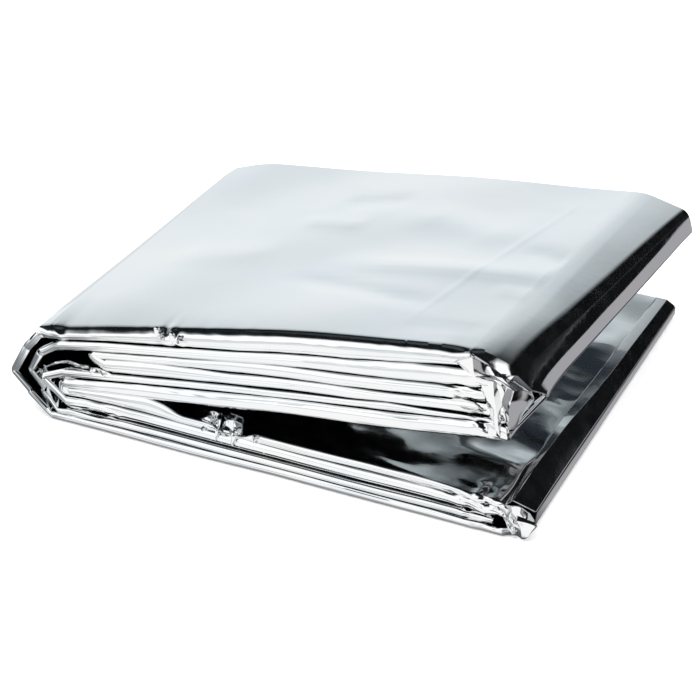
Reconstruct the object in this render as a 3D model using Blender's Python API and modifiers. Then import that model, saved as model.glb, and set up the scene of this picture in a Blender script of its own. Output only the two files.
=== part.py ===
"""Emergency foil blanket, folded to a flat packet whose last fold has sprung open like a book.

The blanket is one sheet of metallised film. It is gathered into a long strip of plies, and the strip runs
back and forth in ten passes: six in the upper leaf and four in the lower one, joined at the hinge on the
left. The lower leaf lies flat, the upper one rises to the right and is puffed up along its front edge.

The model is an open ribbon that follows the strip's middle surface, thickened with Solidify.
Lengths in the tables are millimetres, and MM turns them into Blender's metres. In the tables x runs from
the hinge to the right, y from the front edge to the back, and z up from the surface it rests on.
"""

import math
from collections import namedtuple

import bmesh
import bpy
from mathutils import Vector
from mathutils.geometry import interpolate_bezier

MM = 0.001

# ---------------------------------------------------------------- driving sizes, in mm
LEAF_DEPTH = 102.6  # front edge to back edge
THICKEST = 6.6  # the strip where it is puffed up most
TURN_WAIST = 2.0  # the strip's thickness where it turns round the leaves' sides and hinge
BACK_GAP_SHARE = 0.05  # air between passes at the back, as a share of the leaf's height
SPLIT_HEIGHT = 17.0  # at the right, the upper leaf is above this height and the lower one below it

# A leaf's face along one edge: its height at x = 0, its rise for each mm to the right, and how it arches.
Face = namedtuple("Face", "start rise arch")
UPPER_TOP_FRONT = Face(24.5, 0.289, 0.00089)
UPPER_TOP_BACK = Face(18.0, 0.1435, 0.0)
UPPER_BASE_FRONT = Face(8.1, 0.1415, 0.0)
UPPER_BASE_BACK = Face(5.3, 0.157, 0.0)

LOWER_HEIGHT_FRONT = 9.3
LOWER_HEIGHT_BACK = 4.4
HINGE_PINCH = 1.9  # how far the lower leaf is pinched down at the hinge, easing off over HINGE_PINCH_RUN
HINGE_PINCH_RUN = 7.0
RIGHT_DROOP = 0.9  # how far its upper face droops at the right
RIGHT_DROOP_SPAN = (95.0, 115.0)

# One pass of the strip. low and high: where it lies in its leaf's height at the front, from 0 to 1.
# level: its place in the leaf counted from below. left and right: where its straight run ends at the front.
# right_back: the same at the back. front: how far its front edge stands back.
Pass = namedtuple("Pass", "leaf level low high left right right_back front")
PASSES = {
    "lower_4": Pass("lower", 0, 0.00, 0.23, 0.8, 114.5, 114.5, -1.6),
    "upper_1": Pass("upper", 5, 0.715, 1.00, 0.5, 107.5, 112.0, 0.0),
    "upper_6": Pass("upper", 0, 0.00, 0.20, 5.0, 111.5, 117.0, -0.6),
    "lower_1": Pass("lower", 3, 0.79, 1.00, 5.0, 111.0, 113.0, 0.7),
    "lower_2": Pass("lower", 2, 0.45, 0.75, 4.5, 111.0, 113.0, 0.2),
    "upper_5": Pass("upper", 1, 0.225, 0.29, 3.5, 112.6, 117.0, 0.9),
    "upper_4": Pass("upper", 2, 0.31, 0.41, 9.5, 112.6, 117.0, 0.8),
    "upper_3": Pass("upper", 3, 0.435, 0.55, 9.5, 110.5, 111.5, 0.3),
    "upper_2": Pass("upper", 4, 0.575, 0.69, 2.0, 110.5, 111.5, 0.9),
    "lower_3": Pass("lower", 1, 0.26, 0.42, 2.5, 112.0, 113.0, 0.6),
}
PASSES_IN_LEAF = {"upper": 6, "lower": 4}

# A hinge's crease as (x, z), at the front and at the back.
Hinge = namedtuple("Hinge", "front back")
OUTER_HINGE = Hinge((-8.9, 9.6), (-8.4, 6.6))
SECOND_HINGE = Hinge((-5.4, 11.3), (-5.2, 7.4))
THIRD_HINGE = Hinge((-1.6, 10.0), (-1.8, 6.2))

# The strip from its free end at the lower leaf's side: passes by name, and the turns between them.
ROUTE = (
    "lip", "lower_4", OUTER_HINGE, "upper_1", "upper_wrap", "upper_6", "fold", "lower_1", "fold",
    "lower_2", THIRD_HINGE, "upper_5", "fold", "upper_4", "fold", "upper_3", "fold", "upper_2",
    SECOND_HINGE, "lower_3",
)

# The curve of the upper leaf's right-hand side: how far its handles reach right and how much they dip,
# each as (at the front, at the back).
WRAP_TOP_REACH = (11.5, 9.5)
WRAP_TOP_DIP = (1.0, 0.8)
WRAP_BASE_REACH = (8.5, 7.5)
WRAP_BASE_LIFT = 1.0

# The free end, a lip along the lower leaf's right-hand top edge. Pairs are (at the front, at the back).
LIP_X = (115.9, 116.8)
LIP_THICKNESS = (1.6, 1.0)
LIP_RISE = 2.8  # how far it stands above the lower leaf's upper face where it is highest
LIP_GROWS = (-0.05, 0.25)  # depths between which it comes up, as shares of LEAF_DEPTH
LIP_FADES = (0.4, 0.9)
LIP_SHOULDER = (121.0, 0.5)  # the curve's upper handle: its x, and how far it is above the free end
LIP_BASE_REACH = 8.0

# The packet's rounded and cut-off corners.
BACK_CORNER_DEPTH = 9.0
BACK_CORNER_SPAN = (-9.0, 13.0)
UPPER_CORNER = (111.5, 1.15)  # where the upper leaf's cut-off corner starts, and how steeply it runs back
LOWER_CORNER = (114.0, 0.1)  # the same for the lower leaf, where the steepness is for each mm of height

# ---------------------------------------------------------------- resolution
PASS_STEPS = 9
END_CROWDING = 0.08  # how much closer the stations are towards a pass's ends
FOLD_STEPS = 6
HINGE_STEPS = 4  # on each side of a hinge's crease
WRAP_STEPS = 10
# Rows from front to back as (distance from the nearer edge in mm, share of the full thickness there).
FRONT_EDGE_ROWS = ((0.0, 0.42), (0.35, 0.76), (1.1, 0.95), (2.6, 1.0))
BACK_EDGE_ROWS = ((1.8, 1.0), (0.6, 0.88), (0.0, 0.50))
MIDDLE_ROWS = (0.13, 0.28, 0.44, 0.60, 0.75, 0.88)


def mix(a, b, share):
    return a + (b - a) * share


def smooth(low, high, value):
    """0 below low, 1 above high, and a smooth rise between."""
    share = min(max((value - low) / (high - low), 0.0), 1.0)
    return share * share * (3 - 2 * share)


# ---------------------------------------------------------------- the leaves' upper and lower faces
def along(face, x):
    return face.start + face.rise * x - face.arch * x * x


def lower_top(x, v):
    """Height of the lower leaf's upper face. v runs from 0 at the front to 1 at the back."""
    pinch = HINGE_PINCH * math.exp(-max(x, 0.0) / HINGE_PINCH_RUN)
    front = LOWER_HEIGHT_FRONT - pinch - RIGHT_DROOP * smooth(*RIGHT_DROOP_SPAN, x)
    return mix(front, LOWER_HEIGHT_BACK, v)


def leaf_span(leaf, x, v):
    if leaf == "lower":
        return 0.0, lower_top(x, v)
    base = mix(along(UPPER_BASE_FRONT, x), along(UPPER_BASE_BACK, x), v)
    return base, mix(along(UPPER_TOP_FRONT, x), along(UPPER_TOP_BACK, x), v)


def pass_point(run, x, v):
    """(x, middle height, thickness) of a pass."""
    base, top = leaf_span(run.leaf, x, v)
    even = (1 + BACK_GAP_SHARE) / PASSES_IN_LEAF[run.leaf]
    low_back = run.level * even
    high_back = low_back + even - BACK_GAP_SHARE
    low = mix(base, top, mix(run.low, low_back, v))
    high = mix(base, top, mix(run.high, high_back, v))
    return x, (low + high) / 2, high - low


def ripple(x, y, z):
    """How far the packet's uneven filling lifts a point. Nothing moves at the floor."""
    wave = math.sin(x / 15 + 0.7) * math.sin(y / 21 + 0.4) + 0.6 * math.sin(x / 9.5 - y / 13 + 2.2)
    return 0.30 * wave * smooth(2.0, 30.0, z)


def sway(x, seed):
    """The front edge's wander along a pass. seed sets each pass apart from its neighbours."""
    return 0.35 * math.sin(x / 11.0 + 9.0 * seed) + 0.25 * math.sin(x / 6.1 + 17.0 * seed)


def front_corner(x, z):
    """How far the front edge is drawn in at the right, where folds cut off the packet's corners."""
    if z > SPLIT_HEIGHT:
        start, steepness = UPPER_CORNER
        return steepness * max(x - start, 0.0)
    start, steepness = LOWER_CORNER
    return steepness * z * max(x - start, 0.0)


def back_corner(x):
    """How far the back edge is drawn in near the hinge, where the packet's corner is rounded."""
    return BACK_CORNER_DEPTH * (1 - smooth(*BACK_CORNER_SPAN, x)) ** 1.5


# ---------------------------------------------------------------- the strip's turns
def bezier(points, steps):
    """The inner points of a cubic curve in the plane of the section, without its two ends."""
    knots = [Vector((x, z, 0)) for x, z in points]
    found = interpolate_bezier(*knots, steps + 1)
    return [(p.x, p.y) for p in found[1:-1]]


def with_waist(points, start, end, waist):
    """Adds the thickness to a turn's points: the passes' own at its ends, and waist between them."""
    made = []
    for step, (x, z) in enumerate(points):
        share = (step + 1) / (len(points) + 1)
        plain = mix(start, end, share)
        made.append((x, z, mix(plain, min(plain, waist), 1 - (2 * share - 1) ** 4)))
    return made


def fold(start, end, side):
    """A tight half-turn between neighbouring passes. side is 1 on the right and -1 at the hinge."""
    handle = side * abs(end[1] - start[1]) * 2 / 3
    curve = (start[:2], (start[0] + handle, start[1]), (end[0] + handle, end[1]), end[:2])
    return with_waist(bezier(curve, FOLD_STEPS), start[2], end[2], THICKEST)


def hinge(start, end, crease):
    """A pointed turn through the hinge, with a crease at its tip."""
    tip_x, tip_z = crease

    def half(joint, straight):
        """From the tip to a pass's end: along the film's slope, then level into the pass."""
        dx, dz = joint[0] - tip_x, joint[1] - tip_z
        lean = 0.15 + 0.10 * straight
        return (
            crease,
            (tip_x + lean * dx, tip_z + (0.40 - 0.14 * straight) * dz),
            (tip_x + 0.50 * dx, tip_z + 0.95 * dz),
            joint[:2],
        )

    above = start if start[1] > tip_z else end
    into = bezier(half(start, start is not above)[::-1], HINGE_STEPS)
    out = bezier(half(end, end is not above), HINGE_STEPS)
    return with_waist(into + [crease] + out, start[2], end[2], min(TURN_WAIST, start[2], end[2]))


def upper_wrap(start, end, v):
    """The film that rounds the upper leaf's right-hand side, sloping above and full below the middle."""
    curve = (
        start[:2],
        (start[0] + mix(*WRAP_TOP_REACH, v), start[1] - mix(*WRAP_TOP_DIP, v)),
        (end[0] + mix(*WRAP_BASE_REACH, v), end[1] + WRAP_BASE_LIFT),
        end[:2],
    )
    return with_waist(bezier(curve, WRAP_STEPS), start[2], end[2], TURN_WAIST)


def lip(end, v):
    """The free end, which rounds the lower leaf's side and stands up as a lip along its top edge."""
    rise = LIP_RISE * smooth(*LIP_GROWS, v) * (1 - smooth(*LIP_FADES, v))
    x, thin = mix(*LIP_X, v), mix(*LIP_THICKNESS, v)
    z = lower_top(x, v) - thin / 2 + rise
    shoulder_x, shoulder_lift = LIP_SHOULDER
    curve = ((x, z), (shoulder_x, z + shoulder_lift), (end[0] + LIP_BASE_REACH, end[1]), end[:2])
    return [(x, z, thin)] + with_waist(bezier(curve, WRAP_STEPS), thin, end[2], thin)


# ---------------------------------------------------------------- the whole section
def pass_points(run, v, leftwards):
    """The pass's stations, closer together towards its two ends."""
    right = mix(run.right, run.right_back, v)
    shares = [step / PASS_STEPS for step in range(PASS_STEPS + 1)]
    stations = [mix(run.left, right, s - END_CROWDING * math.sin(2 * math.pi * s)) for s in shares]
    if leftwards:
        stations.reverse()
    return [pass_point(run, x, v) for x in stations]


def turn_points(turn, start, end, v):
    if turn == "lip":
        return lip(end, v)
    if turn == "fold":
        return fold(start, end, 1 if start[0] > LEAF_DEPTH / 2 else -1)
    if turn == "upper_wrap":
        return upper_wrap(start, end, v)
    crease = tuple(mix(front, back, v) for front, back in zip(turn.front, turn.back))
    return hinge(start, end, crease)


def section(v):
    """The strip's middle line at depth v, as (x, z, thickness, how far the front edge stands back)."""
    names = [step for step in ROUTE if step in PASSES]
    runs = {name: pass_points(PASSES[name], v, number % 2 == 0) for number, name in enumerate(names)}
    line = []
    for place, step in enumerate(ROUTE):
        if step in PASSES:
            line += [(*point, PASSES[step].front) for point in runs[step]]
            continue
        # The lip has no pass before it, so it takes both its ends from the pass that follows.
        before, after = ROUTE[max(place - 1, 1)], ROUTE[place + 1]
        turn = turn_points(step, runs[before][-1], runs[after][0], v)
        for number, point in enumerate(turn):
            share = (number + 1) / (len(turn) + 1)
            line.append((*point, mix(PASSES[before].front, PASSES[after].front, share)))
    return line


def depth_rows():
    """(share of the depth, offset in mm, share of the thickness) of each row, front to back."""
    rows = [(0.0, near, full) for near, full in FRONT_EDGE_ROWS]
    rows += [(v, 0.0, 1.0) for v in MIDDLE_ROWS]
    return rows + [(1.0, -near, full) for near, full in BACK_EDGE_ROWS]


# ---------------------------------------------------------------- the ribbon and its thickness
def foil_material():
    material = bpy.data.materials.new("metallised_film")
    material.use_nodes = True
    shader = material.node_tree.nodes["Principled BSDF"]
    shader.inputs["Base Color"].default_value = (0.80, 0.82, 0.84, 1.0)
    shader.inputs["Metallic"].default_value = 1.0
    shader.inputs["Roughness"].default_value = 0.12
    return material


def ribbon():
    """The strip's middle surface as a grid that is laid along the section, row by row."""
    rows = depth_rows()
    lines = [section(v + offset / LEAF_DEPTH) for v, offset, _ in rows]
    steps, depths = len(lines[0]) - 1, len(rows) - 1

    cloth = bmesh.new()
    bmesh.ops.create_grid(cloth, x_segments=steps, y_segments=depths, size=1.0)
    weights = cloth.verts.layers.deform.verify()
    for vert in cloth.verts:
        step = round((vert.co.x + 1) / 2 * steps)
        depth = round((vert.co.y + 1) / 2 * depths)
        x, z, thick, back = lines[depth][step]
        share, offset, full = rows[depth]
        front_y = back + sway(x, back) + front_corner(x, z)
        back_y = LEAF_DEPTH - back_corner(x)
        y = mix(front_y, back_y, share) + offset
        vert.co = Vector((x, y, z + ripple(x, y, z))) * MM
        vert[weights][0] = thick * full / THICKEST
    mesh = bpy.data.meshes.new("foil_blanket")
    cloth.to_mesh(mesh)
    cloth.free()
    return mesh


def stand_on_origin(obj):
    """Moves the object so that the middle of its footprint is at the origin and it stands on z = 0."""
    bpy.context.view_layer.update()
    evaluated = obj.evaluated_get(bpy.context.evaluated_depsgraph_get())
    corners = [Vector(corner) for corner in evaluated.bound_box]
    low = Vector(min(corner[axis] for corner in corners) for axis in range(3))
    high = Vector(max(corner[axis] for corner in corners) for axis in range(3))
    obj.location = (-(low.x + high.x) / 2, -(low.y + high.y) / 2, -low.z)


def main():
    for old in list(bpy.data.objects):
        bpy.data.objects.remove(old)
    blanket = bpy.data.objects.new("foil_blanket", ribbon())
    packet = bpy.data.collections.new("emergency_foil_blanket")
    bpy.context.scene.collection.children.link(packet)
    packet.objects.link(blanket)

    blanket.vertex_groups.new(name="thickness")
    shell = blanket.modifiers.new("film plies", "SOLIDIFY")
    shell.thickness = THICKEST * MM
    shell.offset = 0.0
    shell.vertex_group = "thickness"

    blanket.data.materials.append(foil_material())
    blanket.data.shade_smooth()
    blanket.data.set_sharp_from_angle(angle=math.radians(50))
    stand_on_origin(blanket)


main()
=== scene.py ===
"""Emergency foil blanket: the looks of the folded packet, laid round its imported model.

The film is one closed ribbon. It follows the same section as the solid, pass by pass, with its front
edges, creases and crumpled corners added. In the tables x runs from the hinge to the right, y from the
front edge to the back and z up from the surface, all in millimetres.
"""

import math
from collections import namedtuple

import bmesh
import bpy
import numpy as np
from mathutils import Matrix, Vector


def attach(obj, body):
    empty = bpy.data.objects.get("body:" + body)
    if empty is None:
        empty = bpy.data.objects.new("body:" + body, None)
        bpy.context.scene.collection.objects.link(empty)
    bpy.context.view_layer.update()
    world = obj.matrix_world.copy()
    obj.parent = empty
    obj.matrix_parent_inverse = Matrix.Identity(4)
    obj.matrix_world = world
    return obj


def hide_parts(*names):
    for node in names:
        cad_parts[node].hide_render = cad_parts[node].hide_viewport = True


bl_info = {
    "name": "Emergency foil blanket",
    "version": (1, 0, 0),
    "blender": (4, 5, 0),
    "location": "3D View > Sidebar > Foil blanket",
    "description": "Builds a folded foil blanket whose last fold has sprung half open",
    "category": "Object",
}

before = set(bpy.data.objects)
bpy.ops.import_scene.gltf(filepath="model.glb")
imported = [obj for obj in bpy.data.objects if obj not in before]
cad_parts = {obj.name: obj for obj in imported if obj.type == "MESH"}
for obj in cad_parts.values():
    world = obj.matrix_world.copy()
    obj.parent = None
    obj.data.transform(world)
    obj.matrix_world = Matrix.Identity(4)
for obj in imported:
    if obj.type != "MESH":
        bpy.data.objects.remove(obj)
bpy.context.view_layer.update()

NODE = "foil_blanket"
MM = 0.001
TABLE_ORIGIN = np.array((-0.05606, -0.05023, 0.0))  # where the tables' origin lies in the model, in metres

# ---------------------------------------------------------------- the packet's sizes, in mm
LEAF_DEPTH = 102.6
PACKET_MIDDLE = 51.3  # in x: the folds on its left turn left, and those on its right turn right
TURN_WAIST = 2.0  # a turn's thickness between its ends, at most
BACK_GAP_SHARE = 0.05  # the gap between two passes at the back edge, as a share of the leaf's height
SPLIT_HEIGHT = 17.0  # at the right, what lies above this is the upper leaf

# A leaf's upper or lower face: its height is start + rise * x - arch * x * x.
Face = namedtuple("Face", "start rise arch")
UPPER_TOP_FRONT = Face(24.5, 0.289, 0.00089)
UPPER_TOP_BACK = Face(18.0, 0.1435, 0.0)
UPPER_BASE_FRONT = Face(8.1, 0.1415, 0.0)
UPPER_BASE_BACK = Face(5.3, 0.157, 0.0)

LOWER_HEIGHT_FRONT = 9.3
LOWER_HEIGHT_BACK = 4.4
HINGE_PINCH = 1.9
HINGE_PINCH_RUN = 7.0
RIGHT_DROOP = 0.9
RIGHT_DROOP_SPAN = (95.0, 115.0)

# One pass of the strip: its leaf and its level in it, counted from the lowest, its lower and upper side as
# shares of the leaf's height at the front, its ends in x, its front edge's y, and its count of stations.
Pass = namedtuple("Pass", "leaf level low high left right right_back front steps")
PASSES = {
    "lower_4": Pass("lower", 0, 0.00, 0.23, 0.8, 114.5, 114.5, -1.2, 84),
    "upper_1": Pass("upper", 5, 0.715, 1.00, 0.5, 105.5, 107.0, 0.2, 200),
    "upper_6": Pass("upper", 0, 0.00, 0.20, 5.0, 111.5, 117.0, -0.5, 112),
    "lower_1": Pass("lower", 3, 0.79, 1.00, 5.0, 113.2, 114.9, 0.0, 144),
    "lower_2": Pass("lower", 2, 0.45, 0.75, 4.5, 113.2, 114.9, -0.1, 64),
    "upper_5": Pass("upper", 1, 0.225, 0.29, 3.5, 112.6, 117.0, 0.1, 60),
    "upper_4": Pass("upper", 2, 0.31, 0.41, 15.5, 112.6, 117.0, 0.2, 60),
    "upper_3": Pass("upper", 3, 0.435, 0.55, 12.0, 110.5, 111.5, 0.3, 64),
    "upper_2": Pass("upper", 4, 0.575, 0.69, 2.0, 110.5, 111.5, 0.2, 64),
    "lower_3": Pass("lower", 1, 0.26, 0.42, 2.5, 112.0, 113.0, -0.9, 64),
}
PASSES_IN_LEAF = {"upper": 6, "lower": 4}

# The corners of each turn at the hinge, as (x, z) from its lower end up, at the front and at the back.
Hinge = namedtuple("Hinge", "front back")
OUTER_HINGE = Hinge(
    ((-0.6, 2.0), (-4.8, 5.9), (-9.2, 10.3), (-5.4, 17.4), (-1.8, 21.8)),
    ((-0.6, 1.2), (-4.0, 3.4), (-7.6, 6.6), (-5.2, 12.4), (-1.8, 15.6)))
SECOND_HINGE = Hinge(((-1.0, 7.2), (-4.7, 11.6), (-1.9, 16.7)), ((-1.0, 4.0), (-4.5, 7.6), (-1.9, 12.4)))
THIRD_HINGE = Hinge(((-1.6, 10.0),), ((-1.8, 6.2),))
HINGE_ROUNDING = 0.5

# The strip's way through the packet, from its free end.
ROUTE = (
    "lip", "lower_4", OUTER_HINGE, "upper_1", "upper_wrap", "upper_6", "fold", "lower_1", "fold",
    "lower_2", THIRD_HINGE, "upper_5", "fold", "upper_4", "fold", "upper_3", "fold", "upper_2",
    SECOND_HINGE, "lower_3",
)

# The corners of the turn at the right of the upper leaf: the outer side's (x, z) at the front and at the
# back, the step from there to the inner side, and how far before and after the corner its rounding runs.
WrapCorner = namedtuple("WrapCorner", "front back inset rounding")
WRAP_CORNERS = (
    WrapCorner((108.8, 45.1), (110.4, 33.7), (-0.6, -5.4), (2.6, 2.2)),
    WrapCorner((114.7, 43.2), (121.2, 30.8), (-1.4, -2.0), (2.8, 1.8)),
    WrapCorner((118.7, 36.6), (122.2, 28.3), (-2.2, -0.6), (0.9, 0.7)),
    WrapCorner((119.7, 32.6), (123.0, 25.0), (-2.0, 0.4), (1.4, 0.9)),
    WrapCorner((115.4, 26.2), (119.6, 23.9), (-0.8, 1.6), (0.9, 0.7)),
)
WRAP_FLARE = 1.2
WRAP_FLARE_RUN = 5.0

# The free end lies over the lower leaf's right side: its edge, the strip along it, the slope down from the
# strip and the upright side. Each pair is at the front and at the back.
LIP_THICKNESS = 0.2
LIP_EDGE = (-0.4, -0.8)  # from the strip's left corner to the film's end, in x and z
LIP_STRIP_RIGHT = (116.0, 117.6)
LIP_STRIP_WIDTH = (0.9, 2.7)
LIP_STRIP_WIDENS = (0.0, 0.6)
LIP_FOOT = ((120.05, 119.9), (4.1, 3.0))
LIP_UNDER = ((120.05, 119.9), (0.75, 0.75))
LIP_HEEL = ((117.5, 117.5), (0.5, 0.5))
LIP_ROUNDINGS = (0.03, 0.12, 0.5, 0.45, 0.3)
LIP_RISE = 1.6
LIP_GROWS = (-0.05, 0.2)
LIP_FADES = (0.3, 0.6)

# The back left corner is cut off at a slant.
BACK_CORNER_DEPTH = 9.0
BACK_CORNER_SPAN = (-9.0, 13.0)
BACK_CORNER_BEND = 1.5

# The front edges run back at the right: the upper leaf's below a height, and the lower leaf's in steps, as
# (how far, from x, to x).
UPPER_CORNER_HEIGHT = 36.5
UPPER_CORNER_SPAN = (114.6, 117.6)
UPPER_CORNER_RISE = 0.9
LOWER_CORNER_FROM = 114.0
LOWER_CORNER_RISE = 0.05
LOWER_CORNER_STEPS = ((2.2, 114.5, 117.0), (4.0, 118.4, 120.8))

LEAST_LENGTH = 1e-9  # keeps a division by a length safe
END_CROWDING = 0.08  # the stations lie closer together towards a pass's ends
FOLD_HANDLE = 2 / 3  # how far a fold's handles reach, as a share of its height: nearly a half circle
FOLD_STEPS = 8
HINGE_STEPS = 24
WRAP_STEPS = 10  # round each of its corners
LIP_STEPS = 8

# ---------------------------------------------------------------- the film's own sizes, in mm
EDGE_DEPTH = 1.3  # how far the bulge of a pass's front edge stands forward, at most
EDGE_BULGE = 0.17  # the same as a share of the pass's thickness
EDGE_LEAST = 0.15  # the bulge of the thinnest film
FRONT_LINES_RUN = 9.0  # how far back from the front edge the gaps' front shape fades out
# The gap between a pass and the one under it, seen on the front edge: (x, share of the leaf's height, width
# as such a share).
FRONT_LINES = {
    ("upper_1", "upper_2"): (
        (0, 0.750, 0.034), (16, 0.744, 0.036), (32, 0.714, 0.020), (48, 0.701, 0.011), (77, 0.732, 0.010),
        (92, 0.770, 0.013), (100, 0.780, 0.035), (108, 0.775, 0.045),
    ),
    ("upper_2", "upper_3"): ((0, 0.60, 0.010), (40, 0.575, 0.008), (77, 0.56, 0.009), (110, 0.56, 0.009)),
    ("upper_3", "upper_4"): (
        (9, 0.485, 0.014), (22, 0.482, 0.013), (31, 0.473, 0.012), (48, 0.427, 0.009), (77, 0.413, 0.009),
        (110, 0.40, 0.012),
    ),
    ("upper_4", "upper_5"): (
        (3, 0.291, 0.014), (48, 0.287, 0.009), (77, 0.279, 0.008), (86, 0.293, 0.008), (111, 0.247, 0.012),
    ),
    ("upper_5", "upper_6"): ((-1, 0.150, 0.014), (25, 0.185, 0.014), (48, 0.190, 0.008), (112, 0.192, 0.010)),
    ("lower_1", "lower_2"): ((0, 0.77, 0.010), (113, 0.77, 0.010)),
    ("lower_2", "lower_3"): ((0, 0.441, 0.018), (113, 0.441, 0.012)),
    ("lower_3", "lower_4"): ((0, 0.24, 0.003), (113, 0.24, 0.003)),
}

# The lower leaf's front edge has a notch where its top ply is pushed down. Left of the split it swells up
# to the upper leaf.
NOTCH_PLACE = 48.0
NOTCH_HALF_WIDTH = 4.5
NOTCH_DEPTH = 1.5
SPLIT_OPENS = (24.0, 36.0)
SWELL_GAP = 0.12

# The top ply slopes down from a crease to its front edge, and sags softly behind it.
BEVEL_RUN = 1.0
BEVEL_DROP = 0.85
BEVEL_GROWS = (-3.0, 1.0)
BEVEL_FADES = (101.0, 107.0)
TOP_SAG = 1.5
TOP_SAG_RUN = 9.0
TOP_SAG_GROWS = (-5.0, 6.0)
TOP_SAG_FADES = (40.0, 100.0)
TOP_SAG_LOST = 0.85  # the share of it that fades
SLOPE_BEND = 1.2  # over 1, a slope to the front edge begins softly

# At the right the top's front corner is folded down, and sags behind the fold.
CORNER_DROP = 2.6
CORNER_DROP_RUN = 1.4
CORNER_DROP_FROM = (105.0, 112.0)
CORNER_DROP_TO = (112.5, 116.5)  # the sag ends here too
CORNER_SAG = 0.8
CORNER_SAG_RUN = 7.0
CORNER_SAG_FROM = (96.0, 110.0)

# The ring of points round the strip.
BACK_POINTS = 4
BACK_BULGE = 0.5
OUTER_NEAR_ROWS = (0.35, 0.8, 1.4, 2.2, 3.3, 4.8, 6.8)  # from the front edge back, in mm
OUTER_MIDDLE_ROWS = 34
INNER_NEAR_ROWS = (0.6, 1.8, 4.5)
INNER_MIDDLE_ROWS = 6
MIDDLE_SPAN = (0.095, 0.985)  # from front to back, as shares of the leaf's depth

# Folds of the film inside a pass show on its front edge as grooves, as (place from the outer side to the
# inner side, depth in mm).
GROOVES = {
    "upper_1": ((0.30, 0.03), (0.55, 0.07), (0.79, 0.16)),
    "upper_2": ((0.30, 0.07), (0.62, 0.09), (0.82, 0.04)),
    "upper_3": ((0.24, 0.06), (0.52, 0.08), (0.78, 0.04)),
    "upper_4": ((0.26, 0.04), (0.55, 0.08), (0.80, 0.04)),
    "upper_5": ((0.25, 0.02), (0.50, 0.04), (0.75, 0.02)),
    "upper_6": ((0.20, 0.03), (0.48, 0.05), (0.78, 0.09)),
    "lower_1": ((0.30, 0.03), (0.55, 0.06), (0.78, 0.08)),
    "lower_2": ((0.25, 0.04), (0.50, 0.05), (0.76, 0.03)),
    "lower_3": ((0.25, 0.03), (0.50, 0.05), (0.76, 0.03)),
    "lower_4": ((0.25, 0.03), (0.52, 0.06), (0.80, 0.05)),
    "turn": ((0.25, 0.04), (0.50, 0.10), (0.78, 0.04)),
}
GROOVES_ON_EDGE = 3
GROOVE_HALF_WIDTH = 0.32
GROOVE_SHARE = 0.10  # the same as a share of the pass's thickness, at most
GROOVE_BEND = 1.4  # over 1, a groove's sides curve in to its bottom
POINTS_BETWEEN_GROOVES = 4
POINTS_IN_GROOVE = 2  # on each of its slopes
LEAST_THICKNESS = 0.1
SMOOTHING_REACH = 6  # stations on each side

# Waves along the strip: height, length in mm for each radian, and how fast the phase turns it.
Wave = namedtuple("Wave", "height length turn")
GROOVE_PHASES = (2.3, 5)  # for each groove, and for each mm that the edge stands back
GROOVE_WANDERS = (Wave(0.035, 17, 1), Wave(0.02, 7.3, 2))
GROOVE_DEEPENS = (Wave(0.55, 19, 1.7), Wave(0.25, 5.3, 1))
GROOVE_MEAN_DEPTH = 0.75
GROOVE_DEPTH_SPAN = (0, 1.4)
FRONT_SWAYS = (Wave(0.12, 11.0, 9.0), Wave(0.08, 6.1, 17.0))

# The slow ripple of the whole packet: a square one and a slanting one. It grows with the height.
RIPPLE_HEIGHT = 0.30
RIPPLE_LENGTHS = (15, 21)
RIPPLE_PHASES = (0.7, 0.4)
SLANT_SHARE = 0.6
SLANT_LENGTHS = (9.5, 13)
SLANT_PHASE = 2.2
RIPPLE_GROWS = (2.0, 30.0)

# How the corners of random flat facets are shifted, so that they don't stand in straight rows.
FACET_TABLE = 64  # random heights each way
FACET_WANDER = 0.3
FACET_BENDS = (1.7, 1.3)
FACET_SLANT = 0.2

# A layer of such facets: their height, how far they are stretched, their size and the seed.
Creases = namedtuple("Creases", "height stretch size seed")
FRONT_CREASES = (Creases(0.025, 7, 1.2, 3), Creases(0.02, 1, 3.0, 4))
TOP_CREASES = (Creases(0.05, 1.6, 13.0, 5),)
INSIDE_CREASES = (Creases(0.30, 2.0, 9.0, 7), Creases(0.03, 2.5, 3.0, 8))
UNDER_CREASES = (Creases(0.20, 1.6, 8.0, 9), Creases(0.08, 1, 4.0, 10))
SIDE_CREASES = (Creases(0.05, 3.0, 4.0, 11),)
FRONT_CREASES_REACH = 4.0
BEHIND_FRONT = (1.5, 7.0)  # the other creases grow over this distance from the front edge
BEHIND_INSIDE_FRONT = (0.5, 4.0)
INSIDE_CALM = 0.25  # the share of the inside's creases deep in the gap
INSIDE_CREASES_GROW = (70.0, 105.0)

# Where the front edges are crumpled into flat facets: the zone's middle and reach, the facets' size and
# height, and the seed.
Crumple = namedtuple("Crumple", "x z reach_x reach_z size height seed")
FRONT_CRUMPLES = (
    Crumple(-5.0, 14.0, 6.0, 13.0, 3.4, 0.22, 21),
    Crumple(2.5, 5.0, 7.0, 5.0, 2.6, 0.20, 22),
    Crumple(2.0, 21.0, 3.5, 3.0, 2.0, 0.45, 23),
    Crumple(110.0, 34.0, 5.0, 11.0, 2.4, 0.45, 24),
    Crumple(102.0, 33.0, 4.0, 2.5, 1.8, 0.35, 25),
    Crumple(110.0, 5.0, 7.0, 5.0, 2.0, 0.50, 26),
    Crumple(32.5, 29.5, 4.0, 2.2, 2.2, 0.55, 27),
    Crumple(46.5, 8.3, 6.0, 1.6, 2.0, 0.40, 28),
    Crumple(15.0, 4.8, 6.0, 1.6, 1.8, 0.35, 29),
    Crumple(104.0, 6.3, 7.0, 1.8, 1.7, 0.35, 30),
)

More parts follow.
